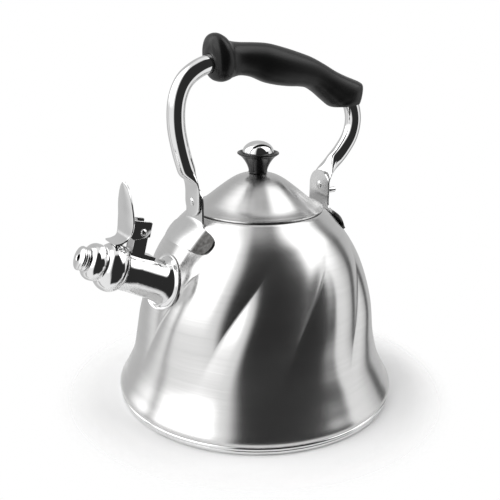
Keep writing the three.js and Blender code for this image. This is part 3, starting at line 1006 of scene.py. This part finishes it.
@dataclass
class Lid:
    """The low cone, its skirt and the two-part knob."""

    seat: float = 147.4
    radius: float = 50.6
    knob: float = 174.4

    def build(self) -> None:
        """Makes the cone with a rolled edge, then the knob."""
        dome = curve_through([(self.radius - 0.3, self.seat + 1.2), (47.5, 149.8), (41.6, 153),
                              (30.1, 162.2), (21.5, 168.6), (14.5, 172.3), (7.6, 173.9)], 9)
        roll = arc((self.radius - 0.7, self.seat + 0.7), 0.7, -90, 45, 7)
        under = beside(dome, -1.0)[::-1]
        top = [(2.5, 174.1), (2.5, 173.1)]
        outline = [*roll, *dome[1:], *top, *under[:-2], (48.5, self.seat)]
        lid = spun("lid_cone", outline, 200, closed=True)
        settle(lid, Mover.LID, LID_FINISH, ["lid_shell"])
        reach = 45.0
        skirt = [(reach, 139.5), (reach, 147.2), (reach - 0.5, 148.4), (reach - 1.4, 148.4),
                 (reach - 1, 147.2), (reach - 1, 139.5)]
        settle(spun("lid_collar", skirt, 160, closed=True), Mover.LID, LID_FINISH, ["lid_skirt"])
        self.build_knob()

    def build_knob(self) -> None:
        """Makes the trumpet foot and the polished dome that sits in its cup."""
        z, cup = self.knob, self.knob + 13.8
        side = curve_through([(7.3, z + 0.5), (7.2, z + 2.4), (8.5, z + 6), (10.4, z + 9.3),
                              (12.8, z + 12.2), (15.2, z + 14)], 6)
        foot = [
            (0, z), (6.8, z), *side, *arc((15.1, z + 14.9), 0.8, -40, 120, 8),
            (13.8, z + 15.0), (12.7, cup), (0, cup),
        ]
        settle(spun("knob_trumpet", foot, 96), Mover.LID, KNOB_FINISH, ["knob_base"])
        low = cup + 0.3
        dome = [(r, low + 1.2 + h * 8.8) for r, h in arc((0, 0), 12, 0, 90, 24)]
        dome = [(r, low + 1.2 + (h - low - 1.2) / 12) for r, h in dome]
        cap = spun("knob_dome", [(0, low), (11.5, low), (12, low + 0.5), *dome], 96)
        settle(cap, Mover.LID, CHROME, ["knob_cap"])
        for node in ("lid_washer", "knob_screw"):
            dress_node(node, CHROME)


# ---- handle brackets


@dataclass
class PivotBracket:
    """A stamped sheet that wraps the shoulder and rises to a pivot."""

    name: str
    node: str
    side: int
    face: float
    body: Body
    pivot: float = 158.4
    half: float = 12.0
    sheet: float = 1.5
    blend: float = 3.0
    gap: float = 0.3

    def outline(self) -> Outline:
        """The sheet's edge as height and half width, from the foot up."""
        lobe = curve_through([(126.3, 26.5), (128, 30), (132, 31.4), (136, 29.6), (138.6, 25.5),
                              (140.2, 20), (141.4, 15), (143.4, 12.6), (147, self.half)], 8)
        top = [(self.pivot + self.half * math.sin(angle), self.half * math.cos(angle))
               for angle in (math.radians(90 * i / 24) for i in range(24))]
        return [*lobe, *top, (self.pivot + self.half, 0.2)]

    def lean(self, y: float, z: float, proud: float) -> float:
        """How far out the sheet is at a place: on the shoulder below and upright above."""
        radius = self.body.radius_at(min(z, self.body.height - 0.6)) + proud
        shoulder = math.sqrt(max(radius**2 - y**2, 1.0))
        upright = abs(self.face) + proud - self.gap
        share = min(max(0.5 + 0.5 * (shoulder - upright) / self.blend, 0.0), 1.0)
        return upright + (shoulder - upright) * share + self.blend * share * (1 - share)

    def build(self) -> None:
        """Makes the sheet."""
        edge = self.outline()

        def place(across: float, up: float) -> Place:
            """Places a vertex of the sheet's inner face."""
            index = up * (len(edge) - 1)
            low = min(int(index), len(edge) - 2)
            share = index - low
            height = edge[low][0] + (edge[low + 1][0] - edge[low][0]) * share
            half = edge[low][1] + (edge[low + 1][1] - edge[low][1]) * share
            round_top = height > self.pivot
            y = half * (math.sin((across - 0.5) * math.pi) if round_top else 2 * across - 1)
            dip = 1.2 * (1 - (y / 31) ** 2) * (1 - smooth(height, 126, 134))
            z = height + dip
            return self.side * self.lean(y, z, self.gap), y, z

        sheet = sheet_of(self.name, 32, len(edge) - 1, place)
        close_up(sheet)
        with_modifier(sheet, "SOLIDIFY", thickness=self.sheet * MM, offset=1.0)
        close_up(sheet)
        soften(sheet, 0.3)
        settle(sheet, Mover.KETTLE, SHEET_FINISH, [self.node])


@dataclass
class PivotRivet:
    """A rivet through a tab and its strap, domed at both ends."""

    name: str
    node: str
    inner: float
    outer: float
    pivot: float = 158.4
    radius: float = 3.3

    def build(self) -> None:
        """Makes the rivet along X."""
        low, high = sorted((self.inner, self.outer))
        dome = [(0, low - 1.1), (1.4, low - 1.0), (2.6, low - 0.7)]
        lower = [*dome, (self.radius, low - 0.1), (2.4, low)]
        upper = [(r, low + high - z) for r, z in lower][::-1]
        rivet = spun(self.name, [*lower, *upper], 40)
        put(rivet, (0, 90), (0, 0, self.pivot))
        settle(rivet, Mover.KETTLE, CHROME, [self.node])


# ---- handle


class Path:
    """A smooth curve through points in the XZ plane, walked by its length."""

    def __init__(self, points: Iterable[Pair]) -> None:
        """Draws the curve with steps spaced by the points' own distances.

        Args:
            points: The points it passes through, as x and z.
        """
        given = [Vector(point) for point in points]
        first, last = 2 * given[0] - given[1], 2 * given[-1] - given[-2]
        padded = [first, *given, last]
        self.drawn: list[Vector] = []
        for i in range(len(given) - 1):
            self.drawn += self.bend(padded[i : i + 4])
        self.drawn.append(given[-1])
        self.reach = [0.0]
        for a, b in zip(self.drawn, self.drawn[1:]):
            self.reach.append(self.reach[-1] + (b - a).length)

    @staticmethod
    def bend(four: list[Vector]) -> list[Vector]:
        """Draws one centripetal span.

        Args:
            four: The span's two ends, with the points before and after them.

        Returns:
            The span's points without its end.
        """
        p0, p1, p2, p3 = four
        gaps = [max((b - a).length ** 0.5, 1e-4) for a, b in zip(four, four[1:])]
        first, middle, last = gaps
        leave = ((p1 - p0) / first - (p2 - p0) / (first + middle) + (p2 - p1) / middle) * middle
        arrive = ((p2 - p1) / middle - (p3 - p1) / (middle + last) + (p3 - p2) / last) * middle
        return hermite(p1, p2, leave, arrive, PATH_STEPS)

    def at(self, share: float) -> Vector:
        """The point a share of the way along."""
        wanted = min(max(share, 0.0), 1.0) * self.reach[-1]
        for i, end in enumerate(self.reach[1:]):
            if wanted <= end:
                start = self.reach[i]
                part = (wanted - start) / (end - start) if end > start else 0.0
                return self.drawn[i].lerp(self.drawn[i + 1], part)
        return self.drawn[-1]

    def heading(self, share: float) -> Vector:
        """The direction a share of the way along."""
        return (self.at(share + 0.004) - self.at(share - 0.004)).normalized()


@dataclass
class Arm:
    """A round tube that is squeezed flat where it meets its pivot."""

    name: str
    node: str
    points: Outline
    opens: float
    pivot: float = 158.4
    radius: float = 6.5
    tab_radius: float = 10.6
    tab_half: float = 0.8
    opens_over: float = 12.0
    end: float = 0.985

    def tube(self, name: str, grow: float, end: float) -> Piece:
        """Makes the tube, or the space it needs.

        Args:
            name: The piece's name.
            grow: How much larger than the tube it is all round.
            end: How far along the path it ends.

        Returns:
            The piece.
        """
        path = Path(self.points)
        flat_top = self.pivot + self.opens

        def place(along: float, angle: float) -> Place:
            """Places a vertex of the tube."""
            share = along**1.25 * end
            centre, heading = path.at(share), path.heading(share)
            squeeze = 1 - smooth(centre.y, flat_top, flat_top + self.opens_over)
            below = min(max((self.pivot - centre.y) / self.tab_radius, 0.0), 0.985)
            tab = self.tab_radius * math.sqrt(1 - below**2)
            wide = self.radius + (tab - self.radius) * squeeze + grow
            thick = self.radius + (self.tab_half - self.radius) * squeeze + grow
            c, s = math.cos(angle), math.sin(angle)
            outward = thick * math.copysign(abs(c) ** (1 - 0.6 * squeeze), c)
            return centre.x - heading.y * outward, wide * s, centre.y + heading.x * outward

        return ringed(name, 48, 90, place)

    def build(self) -> None:
        """Makes the arm."""
        arm = self.tube(self.name, 0.0, self.end)
        settle(arm, Mover.HANDLE, CHROME, [self.node])


@dataclass
class Grip:
    """The black grip, with a thumb flange at the front and a turned-down end at the rear."""

    front: Arm
    rear: Arm
    roundness: float = 0.9
    pocket_gap: float = 0.35
    ribs: list[tuple[Pair, Pair, float]] = field(
        default_factory=lambda: [
            ((-43.2, 271), (-41, 249), 9.5), ((-41, 275.2), (-38.6, 244.6), 13),
            ((-37, 276.6), (-34, 243), 14.6), ((-32.6, 275), (-29.4, 243.6), 14),
            ((-27.6, 271.6), (-24.6, 245.6), 11.6), ((-19, 270.3), (-17.4, 247), 10.6),
            ((-6, 270), (-7.4, 245.6), 11.2), ((6, 269.3), (4, 241.4), 12.6),
            ((19, 266.6), (14, 239.2), 13.2), ((32, 263.2), (25, 237.8), 13),
            ((45, 259.2), (35.4, 237.2), 12.4), ((57, 254), (43.6, 235.8), 11.8),
            ((68.4, 248.4), (50.6, 232.2), 11.6), ((79, 244.2), (56.8, 227.8), 11.8),
            ((87.4, 241.4), (61.8, 224.2), 12), ((93.6, 239.2), (65.2, 221.8), 12.2),
            ((96.6, 236.6), (68, 220.4), 12.2), ((96.2, 229), (70.4, 219.8), 11.8),
            ((94.6, 222.8), (73, 219.8), 10.8),
        ]
    )

    def build(self) -> None:
        """Makes the grip and cuts the pockets that the arms go into."""
        tops = curve_through([top for top, _, _ in self.ribs], 8)
        bottoms = curve_through([bottom for _, bottom, _ in self.ribs], 8)
        halves = curve_through([(i, half) for i, (_, _, half) in enumerate(self.ribs)], 8)
        steps = len(tops) - 1

        def place(along: float, angle: float) -> Place:
            """Places a vertex of the grip."""
            i = round(along * steps)
            c, s = math.cos(angle), math.sin(angle)
            upward = 0.5 + 0.5 * math.copysign(abs(c) ** self.roundness, c)
            across = halves[i][1] * math.copysign(abs(s) ** self.roundness, s)
            x = bottoms[i][0] + (tops[i][0] - bottoms[i][0]) * upward
            z = bottoms[i][1] + (tops[i][1] - bottoms[i][1]) * upward
            return x, across, z

        grip = ringed("moulded_grip", 56, steps, place)
        cut_with(grip, self.front.tube("front_pocket", self.pocket_gap, 1.0))
        cut_with(grip, self.rear.tube("rear_pocket", self.pocket_gap, 1.0))
        soften(grip, 0.8, 3, 40)
        settle(grip, Mover.HANDLE, GRIP_FINISH, ["handle_grip"])


@dataclass
class StopStud:
    """The short stud on the outside of the rear tab."""

    start: float = 63.0
    radius: float = 2.2
    length: float = 9.8
    y: float = -4.2
    z: float = 153.8

    def build(self) -> None:
        """Makes the stud along X."""
        outline = [(0, 0), (self.radius, 0), (self.radius, self.length - 1),
                   (self.radius - 0.7, self.length), (0, self.length)]
        stud = spun("rear_stud", outline, 32)
        soften(stud, 0.2, 2)
        put(stud, (0, 90), (self.start, self.y, self.z))
        settle(stud, Mover.HANDLE, CHROME, ["stop_stud"])


# ---- studio


@dataclass(frozen=True)
class Panel:
    """A soft bright or dark panel of the studio, seen from the kettle.

    The azimuth runs to the right from the camera, and a panel's edges fade over softness.
    """

    azimuth: float
    half_width: float
    low: float
    high: float
    strength: float
    softness: float = 6.0


@dataclass
class Studio:
    """The camera, the floor and the light."""

    camera_azimuth: float = 33.4
    camera_distance: float = 550.2
    camera_height: float = 288.9
    pitch: float = 17.63
    yaw: float = 0.26
    roll: float = 0.91
    lens: float = 52.83
    sensor: float = 36.0
    shift: Pair = (-0.02, -0.0044)
    panels: tuple[Panel, ...] = (
        Panel(180, 70, -60, 60, 0.62, 12),
        Panel(-76, 42, 6, 70, 2.3, 6),
        Panel(84, 42, 27, 74, 2.4, 5),
        Panel(25, 43, -60, 78, 0.03, 7),
        Panel(71, 11, -19, 22, 0.03, 3),
        Panel(-90, 4, -60, 30, 0.4, 6),
        Panel(126, 6, -60, 46, 0.1, 4),
    )
    base_light: float = 1.0
    floor_radius: float = 0.18

    def build(self) -> None:
        """Sets the studio up."""
        self.build_camera()
        self.build_floor()
        self.build_world()
        bpy.context.scene.view_settings.view_transform = "Standard"

    def build_camera(self) -> None:
        """Places the camera."""
        data = bpy.data.cameras.new("studio_camera")
        data.lens = self.lens
        data.sensor_width = self.sensor
        data.shift_x, data.shift_y = self.shift
        camera = bpy.data.objects.new("studio_camera", data)
        angle = math.radians(self.camera_azimuth)
        place = Vector((-self.camera_distance * math.sin(angle),
                        -self.camera_distance * math.cos(angle), self.camera_height + LIFT)) * MM
        turn = (
            Matrix.Rotation(math.radians(-self.camera_azimuth - self.yaw), 4, "Z")
            @ Matrix.Rotation(math.radians(90 - self.pitch), 4, "X")
            @ Matrix.Rotation(math.radians(self.roll), 4, "Z")
        )
        camera.matrix_world = Matrix.Translation(place) @ turn
        bpy.context.scene.collection.objects.link(camera)
        bpy.context.scene.camera = camera

    def build_floor(self) -> None:
        """Lays the floor."""
        bpy.ops.object.select_all(action="DESELECT")
        bpy.ops.mesh.primitive_circle_add(
            vertices=96, radius=self.floor_radius, fill_type="NGON", location=(0, 0, -0.0002)
        )
        floor = start_piece("studio_floor")
        StudioFloor("studio_floor", Slot.BODY).dress(floor)

    def build_world(self) -> None:
        """Lights the studio from soft panels all round."""
        world = bpy.data.worlds.new("studio_light")
        bpy.context.scene.world = world
        world.use_nodes = True
        graph = Graph(world.node_tree)
        direction = graph.add("ShaderNodeTexCoord", output="Generated")
        parts = [
            graph.add("ShaderNodeSeparateXYZ", inputs={0: direction}, output=axis) for axis in "XYZ"
        ]
        flat = (parts[0] * parts[0] + parts[1] * parts[1]).math("SQRT").math("MAXIMUM", 1e-4)
        rise = parts[2].math("ARCTAN2", flat) * math.degrees(1)
        light = graph.add("ShaderNodeValue")
        light.socket.default_value = self.base_light
        for panel in self.panels:
            angle = math.radians(self.camera_azimuth + 180 - panel.azimuth)
            ahead = parts[0] * math.sin(angle) + parts[1] * math.cos(angle)
            off = (ahead / flat).math("MINIMUM", 1.0).math("MAXIMUM", -1.0).math("ARCCOSINE")
            soft = panel.softness
            across = (off * math.degrees(1)).between(panel.half_width + soft, panel.half_width - soft)
            above = rise.between(panel.low - soft, panel.low + soft)
            below = rise.between(panel.high + soft, panel.high - soft)
            mask = across * above * below
            light = light + mask * (panel.strength - light)
        seen = graph.add("ShaderNodeLightPath", output="Is Camera Ray")
        strength = light + seen * (1.0 - light)
        shown = graph.add("ShaderNodeBackground", inputs={"Color": (1, 1, 1, 1), "Strength": strength})
        graph.add("ShaderNodeOutputWorld", inputs={"Surface": shown})


# ---- the kettle


def main() -> None:
    """Builds the studio and every piece in order."""
    logging.basicConfig(level=logging.INFO, format="%(message)s")
    Studio().build()
    body, spout = Body(), Spout()
    body.build(spout)
    spout.build(body)
    Whistle(spout).build()
    Lid().build()
    PivotBracket("front_pivot_sheet", "front_bracket", -1, 54.0, body).build()
    PivotBracket("rear_pivot_sheet", "rear_bracket", 1, 59.3, body).build()
    PivotRivet("front_pivot_rivet", "front_rivet", -54.0, -57.4).build()
    PivotRivet("rear_pivot_rivet", "rear_rivet", 59.3, 62.7).build()
    front = Arm(
        "front_arm_tube",
        "front_arm",
        [(-56.6, 147.8), (-56.6, 159), (-56.6, 167), (-57.6, 173), (-60.8, 181), (-65.6, 197),
         (-68.8, 216), (-67.4, 233), (-61.5, 245), (-51, 252.6), (-36, 257.6)],
        12.4,
    )
    rear = Arm(
        "rear_arm_tube",
        "rear_arm",
        [(61.9, 147.8), (61.9, 157), (61.9, 163), (65, 169), (72, 175.6), (80.6, 183.8),
         (89, 195.6), (91.8, 208), (89.6, 219), (82.5, 231)],
        8.0,
    )
    front.build()
    rear.build()
    Grip(front, rear).build()
    StopStud().build()


if __name__ == "__main__":
    main()
